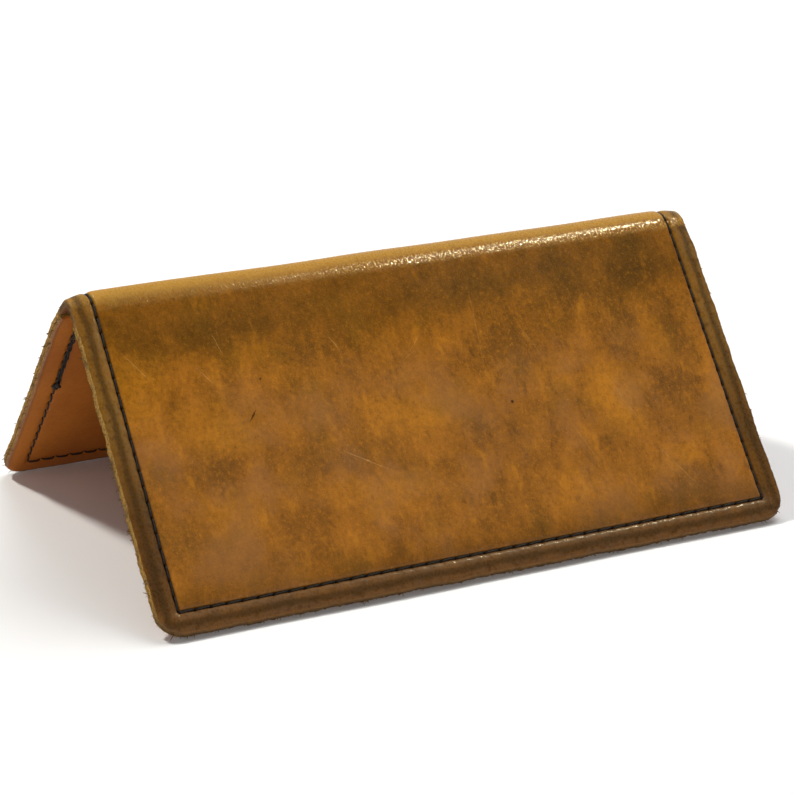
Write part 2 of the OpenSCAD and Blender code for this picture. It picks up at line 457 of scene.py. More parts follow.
class Layer:
    """One leather layer of the flat layout. side is -1 for the front half and 1 for the rear one."""

    def __init__(self, side, start, top, back):
        self.side, self.start, self.closed = side, start, start > 0
        self.us, self.ss = lines_along(), lines_across(start)
        used, self.polygons = grid_cells(self.us, self.ss)
        keys = sorted(used)
        self.row = {key: n for n, key in enumerate(keys)}
        self.u = np.array([self.us[i][0] for i, _ in keys])
        self.s = side * np.array([self.ss[j][0] for _, j in keys])
        self.from_edge = edge_distance(self.u, self.s)
        fu, fs = round_corner(self.u, self.s)
        self.out_u, self.out_s = outward(fu, fs)
        self.along = fu * 1.3 + fs * 1.7 + 60 * np.sign(self.u)
        wobble = CUT_WOBBLE * outline_wave(self.along) * np.exp(-self.from_edge / WOBBLE_REACH)
        self.cut_u, self.cut_s = fu + self.out_u * wobble, fs + self.out_s * wobble
        self.top_h, self.back_h = top(self.u, self.s), back(self.u, self.s)
        self.points, self.flats, self.faces, self.kinds, self.count = [], [], [], [], 0
        self.add_points(self.cut_u, self.cut_s, self.top_h)
        self.add_points(self.cut_u, self.cut_s, self.back_h)

    def add_points(self, u, s, h):
        """Adds points of the flat layout and returns their numbers."""
        self.points.append(place(u, s, h, rounded=False))
        self.flats.append(np.stack([u, s, h], -1))
        self.count += len(u)
        return np.arange(self.count - len(u), self.count)

    def wind(self, ring):
        """Turns a ring so that its face looks outward."""
        return ring[::-1] if self.side < 0 else ring

    def add_faces(self):
        """Both faces. The narrow strip next to the rim already shows the cut edge."""
        for ring in self.polygons:
            ids = [self.row[key] for key in ring]
            by_rim = np.mean(self.from_edge[ids]) <= EDGE_STRIP
            self.faces.append(self.wind(ids))
            self.kinds.append(RIM_KIND if by_rim else FACE_KIND)
            self.faces.append([i + len(self.row) for i in self.wind(ids)[::-1]])
            self.kinds.append(BACK_KIND)

    def rim_path(self):
        """Numbers of the points along the rim. A pocket's rim is closed, the cover's ends at the fold."""
        last_i, last_j = len(self.us) - 1, len(self.ss) - 1
        path = [(0, j) for j in range(last_j)]
        path += [(i, last_j) for i in range(last_i)]
        path += [(last_i, j) for j in range(last_j, -1, -1)]
        if self.closed:
            path += [(i, 0) for i in range(last_i - 1, 0, -1)]
        return np.array([self.row[key] for key in path if key in self.row])

    def add_rim(self):
        """The cut rim: rings of points between the two faces, pushed in and out like ragged fibres."""
        ids = self.rim_path()
        at_mouth = np.abs(np.abs(self.s[ids]) - self.start) < 1e-6
        mouth = self.closed & at_mouth & (np.abs(self.u[ids]) < HALF_W - 1e-6)
        out_u = np.where(mouth, 0, self.out_u[ids])
        out_s = np.where(mouth, -self.side, self.out_s[ids])
        run = self.along[ids] + np.where(mouth, 500, 0)
        rings = [ids]
        for k, level in enumerate(RIM_LEVELS):
            h = self.top_h[ids] + (self.back_h[ids] - self.top_h[ids]) * level
            ragged_edge = edge_wave(run + 37.0 * k) + 0.8 * layer_wave(run * 1.9 + 11.0 * k)
            bulge = RIM_ROUGH * ragged_edge + RIM_BULGE
            bulge = np.where(mouth, 0.3 * bulge, bulge)
            rings.append(self.add_points(self.cut_u[ids] + out_u * bulge, self.cut_s[ids] + out_s * bulge, h))
        rings.append(ids + len(self.row))
        count = len(ids)
        for upper, lower in zip(rings, rings[1:]):
            for k in range(count if self.closed else count - 1):
                m = (k + 1) % count
                self.faces.append(self.wind([upper[k], lower[k], lower[m], upper[m]])[::-1])
                self.kinds.append(RIM_KIND)

    def add_loose_fibres(self):
        ids = self.rim_path()
        strands = Strands(self.count)
        seed = 7 + self.side + (3 if self.closed else 0)
        h_top, h_back = self.top_h[ids].max(), self.back_h[ids].min()
        add_fibres(strands, self.side, self.start, h_top, h_back, FIBRES, seed)
        self.points += strands.points
        self.flats += strands.flats
        self.faces += strands.faces
        self.kinds += [RIM_KIND] * len(strands.faces)


def shell(name, side, start, top, back, materials):
    """A leather layer as a closed mesh. materials are those of its top, its rim and its back."""
    layer = Layer(side, start, top, back)
    layer.add_faces()
    layer.add_rim()
    layer.add_loose_fibres()
    points, flats = np.concatenate(layer.points), np.concatenate(layer.flats)
    return make_mesh(name, points, layer.faces, flats, layer.kinds, materials)


def make_mesh(name, points, faces, flats, kinds, materials):
    """A mesh object from millimetre points, keeping each point's place in the flat layout as an attribute."""
    mesh = bpy.data.meshes.new(name)
    mesh.from_pydata((points * MM).tolist(), [], [[int(i) for i in f] for f in faces])
    mesh.polygons.foreach_set("material_index", np.array(kinds, np.int32))
    mesh.polygons.foreach_set("use_smooth", np.ones(len(faces), bool))
    flat = mesh.attributes.new("flat", "FLOAT_VECTOR", "POINT")
    flat.data.foreach_set("vector", np.asarray(flats, np.float32).ravel())
    for m in materials:
        mesh.materials.append(m)
    mesh.update()
    obj = bpy.data.objects.new(name, mesh)
    bpy.context.scene.collection.objects.link(obj)
    return obj


# ---- thread ----

STITCH_STEPS = np.array([0, 0.035, 0.075, 0.13, 0.22, 0.36, 0.5, 0.64, 0.78, 0.87, 0.925, 0.965, 1.0])
OUTER_SLANT = 0.26
INNER_SLANT = 0.30
OUTER_LEVEL = -0.66
OUTER_DIVE = 0.8
INNER_STAND_OFF = 0.12
INNER_DIVE = 0.95
THREAD_FLATTEN = 0.85


def inner_level(s):
    """Height of the inside surface that the inner stitches lie on."""
    return -COVER_T - POCKET_T * smooth(np.abs(s), MOUTH_S - 0.5, MOUTH_S + 0.5)


def at_ends(t, reach):
    """1 at both ends of a run from 0 to 1, falling off to 0 over about reach."""
    return np.exp(-(t / reach) ** 2) + np.exp(-((1 - t) / reach) ** 2)


def beside(a, b, t, shift):
    """Points on the way from a to b, moved sideways by shift."""
    run = np.array([b[0] - a[0], b[1] - a[1]], float)
    across = np.array([-run[1], run[0]]) / np.hypot(*run)
    return a[0] + run[0] * t + across[0] * shift, a[1] + run[1] * t + across[1] * shift


def stitch_pair(strands, a, b, slant):
    """One stitch on each face, between holes a and b of the flat layout."""
    t = STITCH_STEPS
    jitter = rng.uniform(-1, 1, 4)
    size = THREAD_R * (1 + 0.05 * jitter[1]) * (0.86 + 0.14 * np.sin(math.pi * t))

    u, s = beside(a, b, t, slant * (0.5 - t) * OUTER_SLANT + 0.03 * jitter[0])
    h = OUTER_LEVEL + 0.04 * jitter[2] - OUTER_DIVE * at_ends(t, 0.075)
    strands.add(u, s, h, size, flatten=THREAD_FLATTEN, cap=False)

    u, s = beside(a, b, t, -slant * (0.5 - t) * INNER_SLANT + 0.05 * jitter[3])
    h = inner_level(s) - INNER_STAND_OFF + INNER_DIVE * at_ends(t, 0.11)
    strands.add(u, s, h, size * 0.92, flatten=THREAD_FLATTEN, cap=False)


def seam_thread(name, side, material):
    """The whole seam of one half: down both sides and along the free edge."""
    strands = Strands()
    for end in (-1, 1):
        for k in range(SIDE_N):
            a = (end * SEAM_U, side * k * SIDE_P)
            b = (end * SEAM_U, side * (k + 1) * SIDE_P)
            stitch_pair(strands, a, b, side * end)
    for k in range(BASE_N):
        a = (-SEAM_U + k * BASE_P, side * SEAM_S)
        b = (-SEAM_U + (k + 1) * BASE_P, side * SEAM_S)
        stitch_pair(strands, a, b, side)
    return strands.build(name, material)


# ---- materials ----

# the colour sockets of a Mix node
MIX_A = 6
MIX_B = 7
MIX_RESULT = 2


class Nodes:
    """Short helpers to wire one material."""

    def __init__(self, name):
        self.material = bpy.data.materials.new(name)
        self.material.use_nodes = True
        self.tree = self.material.node_tree
        self.tree.nodes.clear()
        self.shader = self.add("ShaderNodeBsdfPrincipled")
        output = self.add("ShaderNodeOutputMaterial")
        self.link(self.shader.outputs[0], output.inputs[0])

    def add(self, kind, **values):
        node = self.tree.nodes.new(kind)
        for key, value in values.items():
            setattr(node, key, value)
        return node

    def link(self, a, b):
        self.tree.links.new(a, b)

    def put(self, socket, value):
        """Links a socket, or sets its value. A colour gets its alpha here."""
        if isinstance(value, bpy.types.NodeSocket):
            self.link(value, socket)
        elif isinstance(value, tuple):
            socket.default_value = (*value, 1)
        else:
            socket.default_value = value

    def flat(self, scale=(1, 1, 1), turn=0.0, offset=(0, 0, 0)):
        """Coordinates of the flat layout, in millimetres times scale."""
        source = self.add("ShaderNodeAttribute", attribute_name="flat")
        mapping = self.add("ShaderNodeMapping")
        mapping.inputs["Scale"].default_value = scale
        mapping.inputs["Rotation"].default_value = (0, 0, turn)
        mapping.inputs["Location"].default_value = offset
        self.link(source.outputs["Vector"], mapping.inputs["Vector"])
        return mapping.outputs["Vector"]

    def noise(self, vector, scale, detail=3.0, rough=0.5, distortion=0.0):
        node = self.add("ShaderNodeTexNoise")
        self.link(vector, node.inputs["Vector"])
        node.inputs["Scale"].default_value = scale
        node.inputs["Detail"].default_value = detail
        node.inputs["Roughness"].default_value = rough
        node.inputs["Distortion"].default_value = distortion
        return node.outputs["Fac"]

    def cells(self, vector, scale):
        """Distance to the middle of the nearest cell, rounded off."""
        node = self.add("ShaderNodeTexVoronoi", feature="SMOOTH_F1")
        self.link(vector, node.inputs["Vector"])
        node.inputs["Scale"].default_value = scale
        return node.outputs["Distance"]

    def span(self, value, lo, hi, out_lo=0.0, out_hi=1.0):
        """A smooth step from out_lo where value is lo to out_hi where it is hi."""
        node = self.add("ShaderNodeMapRange", interpolation_type="SMOOTHSTEP")
        self.put(node.inputs["Value"], value)
        for key, v in (("From Min", lo), ("From Max", hi), ("To Min", out_lo), ("To Max", out_hi)):
            node.inputs[key].default_value = v
        return node.outputs["Result"]

    def math(self, operation, a, b=0.0):
        node = self.add("ShaderNodeMath", operation=operation)
        self.put(node.inputs[0], a)
        self.put(node.inputs[1], b)
        return node.outputs[0]

    def times(self, a, b):
        return self.math("MULTIPLY", a, b)

    def plus(self, base, value, factor):
        """base + value * factor."""
        return self.math("ADD", base, self.times(value, factor))

    def rest(self, value):
        """1 - value."""
        return self.math("SUBTRACT", 1.0, value)

    def size(self, value):
        return self.math("ABSOLUTE", value)

    def edges(self, u, s):
        """Distance to the free edge, and to the nearest of the three cut edges."""
        out_u = self.math("SUBTRACT", HALF_W, self.size(u))
        out_s = self.math("SUBTRACT", S_END, self.size(s))
        return out_s, self.math("MINIMUM", out_u, out_s)

    def mix(self, fac, a, b):
        """a where fac is 0 and b where it is 1. Both may be colours or sockets."""
        node = self.add("ShaderNodeMix", data_type="RGBA")
        self.put(node.inputs["Factor"], fac)
        self.put(node.inputs[MIX_A], a)
        self.put(node.inputs[MIX_B], b)
        return node.outputs[MIX_RESULT]

    def parts(self, vector):
        node = self.add("ShaderNodeSeparateXYZ")
        self.link(vector, node.inputs[0])
        return node.outputs[0], node.outputs[1], node.outputs[2]

    def distance(self, vector, centre, stretch):
        """Length of (vector - centre) / stretch."""
        shift = self.add("ShaderNodeVectorMath", operation="SUBTRACT")
        self.link(vector, shift.inputs[0])
        shift.inputs[1].default_value = centre
        divide = self.add("ShaderNodeVectorMath", operation="DIVIDE")
        self.link(shift.outputs[0], divide.inputs[0])
        divide.inputs[1].default_value = stretch
        length = self.add("ShaderNodeVectorMath", operation="LENGTH")
        self.link(divide.outputs[0], length.inputs[0])
        return length.outputs["Value"]

    def bump(self, heights):
        """Chains bumps given as (height, strength, distance in metres)."""
        normal = None
        for height, strength, distance in heights:
            node = self.add("ShaderNodeBump")
            node.inputs["Strength"].default_value = strength
            node.inputs["Distance"].default_value = distance
            self.link(height, node.inputs["Height"])
            if normal is not None:
                self.link(normal, node.inputs["Normal"])
            normal = node.outputs[0]
        self.link(normal, self.shader.inputs["Normal"])
        self.link(normal, self.shader.inputs["Coat Normal"])

    def finish(self, **inputs):
        """Sets or links the shader's own sockets and returns the material."""
        for key, value in inputs.items():
            name = key.replace("_", " ").title().replace("Ior", "IOR")
            self.put(self.shader.inputs[name], value)
        return self.material


def rgb(r, g, b):
    """A linear colour from the usual 0 to 255 screen values."""
    return tuple(((c / 255 + 0.055) / 1.055) ** 2.4 if c > 10 else c / 3295 for c in (r, g, b))


AMBER = rgb(196, 126, 24)
TAN = rgb(170, 106, 27)
BROWN = rgb(130, 80, 12)
DARK = rgb(82, 53, 12)
OLIVE = rgb(114, 84, 18)
BLOOM = rgb(150, 104, 62)
DUST = rgb(170, 124, 92)
# painted sheen: the lit top of the fold and the glinting grain tops below it
PAINTED_SHEEN = rgb(190, 144, 58)
BORDER_RIGHT = rgb(88, 60, 26)
FLECK = rgb(206, 142, 44)
BORDER = rgb(66, 45, 26)
BORDER_LOW = rgb(100, 70, 42)
BORDER_TOP = rgb(124, 92, 40)
GROOVE = rgb(38, 22, 10)
RIM_DYE = rgb(64, 42, 14)
SCRATCH = rgb(206, 150, 74)
STAIN = rgb(34, 20, 14)
POCKET_TAN = rgb(162, 90, 14)
POCKET_ORANGE = rgb(178, 104, 24)
POCKET_BROWN = rgb(136, 74, 12)
POCKET_EDGE = rgb(96, 58, 22)
FIBRE_DARK = rgb(88, 62, 18)
FIBRE_PALE = rgb(190, 144, 58)
EDGE_PATCH = rgb(72, 48, 16)
EDGE_DYE = rgb(84, 54, 20)
NAP_BROWN = rgb(96, 56, 18)
NAP_TAN = rgb(128, 80, 32)
THREAD_BLACK = rgb(14, 11, 9)
THREAD_GREY = rgb(40, 32, 25)
PAPER_GREY = rgb(240, 240, 241)
PAPER_WHITE = rgb(247, 247, 248)

# the band of the facets noise that counts as the side of a grain top
FACET_LOW = 0.50
FACET_HIGH = 0.57

# soft clouds of dye on the front half: (u, s, reach along u, reach along s, strength)
DARK_CLOUDS = (
    (-52, -15, 22, 7, 0.60), (-28, -24, 12, 7, 0.65), (12, -13, 24, 7, 0.55), (42, -13, 13, 7, 0.65),
    (66, -16, 14, 10, 0.98), (24, -30, 15, 10, 0.70), (57, -32, 8, 12, 0.55), (65, -50, 10, 13, 0.65),
    (-63, -51, 13, 6, 0.60), (-32, -54, 11, 6, 0.60), (13, -54, 13, 11, 0.42), (61, -77, 14, 6, 0.65),
    (-48, -72, 11, 8, 0.35), (-73, -65, 8, 9, 0.35), (-74, -12, 9, 5, 0.45), (8, -72, 16, 6, 0.25),
    (48, -21, 26, 7, 0.60), (70, -33, 8, 11, 0.65), (30, -52, 9, 6, 0.30),
)
LIGHT_CLOUDS = (
    (-76, -29, 8, 14, 0.55), (-43, -22, 9, 4, 0.40), (-58, -41, 15, 8, 0.55), (-6, -45, 18, 9, 0.60),
    (48, -49, 9, 11, 0.95), (-20, -63, 16, 6, 0.55), (66, -34, 6, 9, 0.45), (32, -71, 14, 8, 0.45),
    (62, -69, 9, 5, 0.60), (76, -50, 4, 20, 0.50), (-60, -62, 12, 6, 0.50), (30, -40, 9, 6, 0.35),
)
# fine pale scratches and dark marks: (u, s, u, s, half width)
SCRATCHES = (
    (-53.4, -16, -51.8, -23, 0.10), (-4, -29.5, 1.5, -24, 0.13), (-24, -21, -21, -27, 0.10),
    (-6, -31, -2, -29, 0.10), (-31, -50, -17, -59, 0.12), (17, -17, 15, -36, 0.10),
    (28, -27, 32, -37, 0.10), (33, -52, 38, -66, 0.12), (-77, -18, -71, -27, 0.12),
    (55, -64, 64, -78, 0.12), (46, -40, 54, -60, 0.10), (-60, -24, -56, -30, 0.09),
)
MARKS = (
    (-50.0, -40.5, -47.6, -37.6, 0.22), (19.4, -45.9, 19.8, -46.9, 0.42), (-44.4, -29.8, -44.2, -30.3, 0.28),
)


ANY_DEPTH = 1000


def clouds(m, vector, spots):
    """The strongest of several soft, ragged spots."""
    total = None
    for u, s, ru, rs, strength in spots:
        away = m.distance(vector, (u, s, 0), (ru, rs, ANY_DEPTH))
        reach = m.span(away, 1.35, 0.0, 0.0, strength)
        total = reach if total is None else m.math("MAXIMUM", total, reach)
    return total


class OuterLeather(Nodes):
    """Hand-dyed, finished leather: mottled amber and brown, darker at the border, with a tight grain."""

    def __init__(self):
        super().__init__("outer_leather")
        self.where = self.flat()
        self.u, self.s, _ = self.parts(self.where)
        self.across = self.size(self.s)
        self.out_s, self.from_edge = self.edges(self.u, self.s)
        self.front = self.span(self.s, 8, -4)
        self.on_fold = self.span(self.across, 7.5, 6)
        self.on_border = self.span(self.from_edge, SEAM_IN + 0.5, SEAM_IN - 0.1)
        self.middle = self.noise(self.flat((1, 1, 0), 0.9), 0.10, 6, 0.62, 0.5)
        self.small = self.noise(self.flat((1, 1, 0)), 0.50, 5, 0.70)
        self.brushed = self.noise(self.flat((1.0, 0.42, 0), 0.15, (5, 9, 0)), 0.24, 6, 0.68)
        self.facets = self.noise(self.flat((1.25, 0.8, 1)), 1.5, 2, 0.6)
        self.grain = self.cells(self.flat(), 1.25)
        self.pores = self.noise(self.flat(), 2.4, 3, 0.65)
        self.scratch = strokes(self, ragged(self, self.where, 0.5, 0.7), SCRATCHES)
        mixed = self.plus(self.times(self.middle, 0.42), self.small, 0.20)
        self.tone = self.plus(mixed, self.brushed, 0.38)

    def dye(self):
        """The mottled dye: placed clouds on the front, free ones on the rear."""
        bent = ragged(self, self.where, 0.11, 16)
        broad = self.noise(self.flat((1, 1, 0), 0.3), 0.035, 3, 0.55, 0.4)
        light = self.times(clouds(self, bent, LIGHT_CLOUDS), self.front)
        dark = self.times(clouds(self, bent, DARK_CLOUDS), self.front)
        rear_dark = self.times(self.rest(self.front), self.span(broad, 0.40, 0.68))
        dark = self.plus(dark, rear_dark, 0.7)
        colour = self.mix(self.span(self.tone, 0.38, 0.62), BROWN, TAN)
        colour = self.mix(self.times(light, self.span(self.small, 0.25, 0.58, 0.35, 1.0)), colour, AMBER)
        colour = self.mix(self.times(dark, self.span(self.tone, 0.34, 0.58, 1.0, 0.70)), colour, DARK)
        olive = self.noise(self.flat((1, 1, 0), 2.1), 0.06, 4, 0.6)
        return self.mix(self.span(olive, 0.50, 0.70, 0, 0.35), colour, OLIVE)

    def flecks(self, colour):
        """Fine specks and brush marks. The dark brush marks are weaker on the left."""
        speck = self.noise(self.flat((1, 0.75, 0), 0.15), 1.0, 4, 0.75)
        colour = self.mix(self.span(speck, 0.50, 0.72, 0, 0.50), colour, DARK)
        colour = self.mix(self.span(speck, 0.48, 0.30, 0, 0.55), colour, AMBER)
        colour = self.mix(self.span(self.brushed, 0.56, 0.70, 0, 0.50), colour, AMBER)
        rough_side = self.span(self.u, -50, 30, 0.25, 1.0)
        brush_dark = self.times(self.span(self.brushed, 0.44, 0.30, 0, 0.60), rough_side)
        colour = self.mix(brush_dark, colour, DARK)
        fleck = self.noise(self.flat((1.2, 0.8, 0), 0.2, (3, 40, 0)), 1.9, 3, 0.7)
        colour = self.mix(self.span(fleck, 0.60, 0.72, 0, 0.55), colour, FLECK)
        return self.mix(self.span(fleck, 0.40, 0.28, 0, 0.55), colour, DARK)

    def bands(self, colour):
        """Bloom and dust lower down, deeper dye below the fold and near the base, and a painted sheen that
        makes the top of the fold paler where it faces the light.
        """
        bloom = self.noise(self.flat((1, 1, 0), 1.3, (31, 0, 0)), 0.045, 4, 0.6)
        bloom = self.times(self.span(bloom, 0.46, 0.66, 0, 0.40), self.span(self.s, -20, -45))
        colour = self.mix(bloom, colour, BLOOM)
        colour = self.mix(self.span(self.across, 15, 50, 0, 0.09), colour, DUST)
        upper = self.span(self.plus(self.across, self.middle, 10), 34, 20, 0, 0.42)
        colour = self.mix(upper, colour, DARK)
        # painted sheen: the top of the fold made paler, as if lit from above
        crest = self.span(self.plus(self.across, self.small, 6), 10.5, 4.0, 0, 0.66)
        colour = self.mix(crest, colour, PAINTED_SHEEN)
        low_band = self.span(self.plus(self.out_s, self.middle, 9), 21, 9, 0, 0.42)
        return self.mix(low_band, colour, DARK)

    def border(self, colour):
        """The burnished strip outside the seam, the stained groove and the uneven dye of the rim."""
        fade = self.span(self.across, 2, 60, 0.55, 0.92)
        burnish = self.mix(self.span(self.u, -60, 80), BORDER, BORDER_RIGHT)
        burnish = self.mix(self.span(self.across, 70, 25), burnish, BORDER_TOP)
        burnish = self.mix(self.span(self.out_s, 8, 4), burnish, BORDER_LOW)
        burnish = self.mix(self.span(self.tone, 0.42, 0.60, 0, 0.35), burnish, BROWN)
        burnish = self.mix(self.span(self.small, 0.48, 0.62, 0, 0.55), burnish, RIM_DYE)
        colour = self.mix(self.times(self.on_border, fade), colour, burnish)
        from_seam = self.size(self.math("SUBTRACT", self.from_edge, SEAM_IN))
        colour = self.mix(self.span(from_seam, 0.62, 0.2, 0, 0.75), colour, GROOVE)
        uneven = self.plus(self.plus(self.from_edge, self.small, 1.6), self.middle, 1.8)
        from_band = self.size(self.math("SUBTRACT", uneven, 4.0))
        colour = self.mix(self.span(from_band, 1.4, 0.2, 0, 0.70), colour, RIM_DYE)
        return self.mix(self.span(uneven, 2.4, 1.5, 0, 0.5), colour, BROWN)

    def wear(self, colour):
        """Scratches, stains and the dark creases of the grain."""
        seen = self.span(self.small, 0.35, 0.6, 0.10, 0.38)
        colour = self.mix(self.times(self.scratch, seen), colour, SCRATCH)
        marks = strokes(self, ragged(self, self.where, 1.2, 0.5), MARKS)
        colour = self.mix(self.times(marks, 0.85), colour, STAIN)
        return self.mix(self.span(self.grain, 0.10, 0.0, 0, 0.20), colour, DARK)

    def painted_glint(self, colour):
        """Painted highlight: pale grain tops on brown in the strip below the fold on the front, where the
        glint lamp's sparkle falls, fading out on the left.
        """
        bulge = self.plus(self.across, self.small, 3.0)
        from_line = self.size(self.math("SUBTRACT", bulge, 6.2))
        painted_glint = self.times(self.span(from_line, 2.4, 0.5, 0, 0.92), self.front)
        painted_glint = self.times(painted_glint, self.span(self.u, -70, 20))
        glint_grain_tops = self.span(self.facets, FACET_LOW, FACET_HIGH)
        colour = self.mix(self.times(painted_glint, self.rest(glint_grain_tops)), colour, BROWN)
        return self.mix(self.times(painted_glint, glint_grain_tops), colour, PAINTED_SHEEN)

    def surface(self):
        """Bumps: broad dimples, the grain, its pores, the scratches and the coarser grain on the fold."""
        dimple = self.noise(self.flat(), 0.45, 3, 0.55)
        self.bump([
            (dimple, 0.10, 0.0005),
            (self.grain, 0.10, 0.00022),
            (self.pores, 0.09, 0.00014),
            (self.scratch, 0.3, 0.00006),
            (self.times(self.facets, self.on_fold), 0.42, 0.00025),
        ])

    def polish(self):
        """Roughness: even on the panel, patchy on the border, and smooth on the grain tops of the fold."""
        polish = self.span(self.pores, 0.3, 0.7, 0.22, 0.32)
        polish = self.mix(self.on_border, polish, self.span(self.facets, 0.42, 0.60, 0.50, 0.22))
        return self.mix(self.on_fold, polish, self.span(self.facets, FACET_LOW, FACET_HIGH, 0.50, 0.17))

    def wax(self):
        """Coat weight: a shiny wax on the grain tops of the fold, fading out on the left."""
        tops = self.span(self.facets, FACET_LOW, FACET_HIGH, 0.02, 1.0)
        glitter = self.times(tops, self.span(self.u, -75, 15, 0.10, 1.0))
        return self.times(self.on_fold, glitter)


def outer_leather():
    """The outside of the cover, worked from the ground dye up."""
    m = OuterLeather()
    colour = m.dye()
    colour = m.flecks(colour)
    colour = m.bands(colour)
    colour = m.border(colour)
    colour = m.wear(colour)
    # painted highlight: the sparkle of the fold's glint laid into the colour
    colour = m.painted_glint(colour)
    m.surface()
    polish = m.polish()
    wax = m.wax()
    return m.finish(
        base_color=colour, roughness=polish, specular_ior_level=0.14, coat_weight=wax, coat_roughness=0.11,
    )


def ragged(m, vector, scale, amount):
    """The flat layout pushed about by noise, so that spots and lines get uneven outlines."""
    warp = m.add("ShaderNodeTexNoise")
    m.link(vector, warp.inputs["Vector"])
    warp.inputs["Scale"].default_value = scale
    warp.inputs["Detail"].default_value = 4
    warp.inputs["Roughness"].default_value = 0.62
    push = m.add("ShaderNodeVectorMath", operation="MULTIPLY_ADD")
    m.link(warp.outputs["Color"], push.inputs[0])
    push.inputs[1].default_value = (amount, amount, 0)
    push.inputs[2].default_value = (-amount / 2, -amount / 2, 0)
    total = m.add("ShaderNodeVectorMath", operation="ADD")
    m.link(vector, total.inputs[0])
    m.link(push.outputs[0], total.inputs[1])
    return total.outputs[0]


def strokes(m, vector, lines):
    """1 on thin straight strokes of the flat layout, 0 elsewhere."""
    total = None
    for u0, s0, u1, s1, half in lines:
        half_length = math.hypot(u1 - u0, s1 - s0) / 2
        shift = m.add("ShaderNodeVectorMath", operation="SUBTRACT")
        m.link(vector, shift.inputs[0])
        shift.inputs[1].default_value = ((u0 + u1) / 2, (s0 + s1) / 2, 0)
        rotate = m.add("ShaderNodeVectorRotate", rotation_type="Z_AXIS")
        m.link(shift.outputs[0], rotate.inputs["Vector"])
        rotate.inputs["Angle"].default_value = -math.atan2(s1 - s0, u1 - u0)
        near = m.distance(rotate.outputs[0], (0, 0, 0), (half_length, half, ANY_DEPTH))
        near = m.span(near, 1.3, 0.4)
        total = near if total is None else m.math("MAXIMUM", total, near)
    return total


def inner_leather():
    """The smooth, undyed side of the pockets: even orange tan with a faint grain."""
    m = Nodes("pocket_leather")
    u, s, _ = m.parts(m.flat())
    flat = m.flat((1, 1, 0))
    broad = m.noise(flat, scale=0.05, detail=3, rough=0.5)
    small = m.noise(flat, scale=0.7, detail=4, rough=0.6)
    pores = m.noise(m.flat(), scale=2.2, detail=3, rough=0.6)
    _, from_edge = m.edges(u, s)
    colour = m.mix(m.span(broad, 0.3, 0.7), POCKET_TAN, POCKET_ORANGE)
    colour = m.mix(m.span(small, 0.35, 0.75, 0, 0.35), colour, POCKET_BROWN)
    colour = m.mix(m.span(from_edge, 1.4, 0.1, 0, 0.65), colour, POCKET_EDGE)
    m.bump([(small, 0.12, 0.0003), (pores, 0.25, 0.0001)])
    polish = m.span(pores, 0.3, 0.7, 0.46, 0.58)
    return m.finish(base_color=colour, roughness=polish, specular_ior_level=0.35)


def cut_edge():
    """Raw cut edge: fibrous, olive brown to pale tan, darker in patches, at the fold and at the base."""
    m = Nodes("cut_edge")
    fibre = m.noise(m.flat((1, 1, 3)), scale=1.6, detail=5, rough=0.7)
    patch = m.noise(m.flat(), scale=0.22, detail=3, rough=0.6)
    _, s, _ = m.parts(m.flat())
    across = m.size(s)
    colour = m.mix(m.span(fibre, 0.32, 0.62), FIBRE_DARK, FIBRE_PALE)
    colour = m.mix(m.span(patch, 0.48, 0.72, 0, 0.6), colour, EDGE_PATCH)
    at_fold = m.span(across, 11, 6, 0, 0.75)
    at_base = m.span(across, S_END - 9, S_END - 1, 0, 0.8)
    colour = m.mix(m.math("MAXIMUM", at_fold, at_base), colour, EDGE_DYE)
    m.bump([(fibre, 0.8, 0.0004)])
    return m.finish(base_color=colour, roughness=0.85)


def flesh_side():
    """The back of the outer leather: napped and a little paler."""
    m = Nodes("flesh_side")
    nap = m.noise(m.flat(), scale=1.4, detail=5, rough=0.7)
    colour = m.mix(m.span(nap, 0.3, 0.7), NAP_BROWN, NAP_TAN)
    m.bump([(nap, 0.5, 0.0003)])
    return m.finish(base_color=colour, roughness=0.8)


def waxed_thread():
    """Black waxed thread: two plies twisted together, dull with a soft shine."""
    m = Nodes("waxed_thread")
    twist = m.add("ShaderNodeTexWave", wave_type="BANDS", bands_direction="DIAGONAL")
    m.link(m.flat((1, 1, 0)), twist.inputs["Vector"])
    twist.inputs["Scale"].default_value = 0.55
    twist.inputs["Distortion"].default_value = 0.6
    fuzz = m.noise(m.flat((3, 3, 1)), scale=2.0, detail=3, rough=0.6)
    colour = m.mix(fuzz, THREAD_BLACK, THREAD_GREY)
    m.bump([(twist.outputs["Fac"], 0.35, 0.0002), (fuzz, 0.3, 0.0001)])
    polish = m.span(fuzz, 0.3, 0.7, 0.55, 0.72)
    return m.finish(base_color=colour, roughness=polish, specular_ior_level=0.3)


def floor_white():
    """Matt white paper, with a barely visible unevenness."""
    m = Nodes("floor_white")
    coordinates = m.add("ShaderNodeTexCoord").outputs["Object"]
    faint = m.noise(coordinates, scale=9.0, detail=4, rough=0.6)
    return m.finish(base_color=m.mix(faint, PAPER_GREY, PAPER_WHITE), roughness=0.6)


# ---- building ----

make_camera()
leather = outer_leather()
inside = inner_leather()
edge = cut_edge()
back = flesh_side()
thread = waxed_thread()


def bend(obj):
    """Bakes a piece's placement into its mesh points."""
    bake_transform(obj)


def make_cover(side, panel):
    """Half of the outer leather, from the middle of the fold to its free edge."""
    cover = shell(panel + "_leather", side, 0.0, outer_height, cover_back_height, [leather, edge, back])
    bend(cover)
    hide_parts(*(["front_cover", "spine"] if side < 0 else ["rear_cover"]))


def make_pocket(side, panel):
    """The pocket leather sewn inside one panel."""
    name = panel + "_pocket_leather"
    pocket = shell(name, side, MOUTH_S, pocket_back_height, pocket_face_height, [back, edge, inside])
    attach(pocket, panel)
    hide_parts(panel + "_pocket")


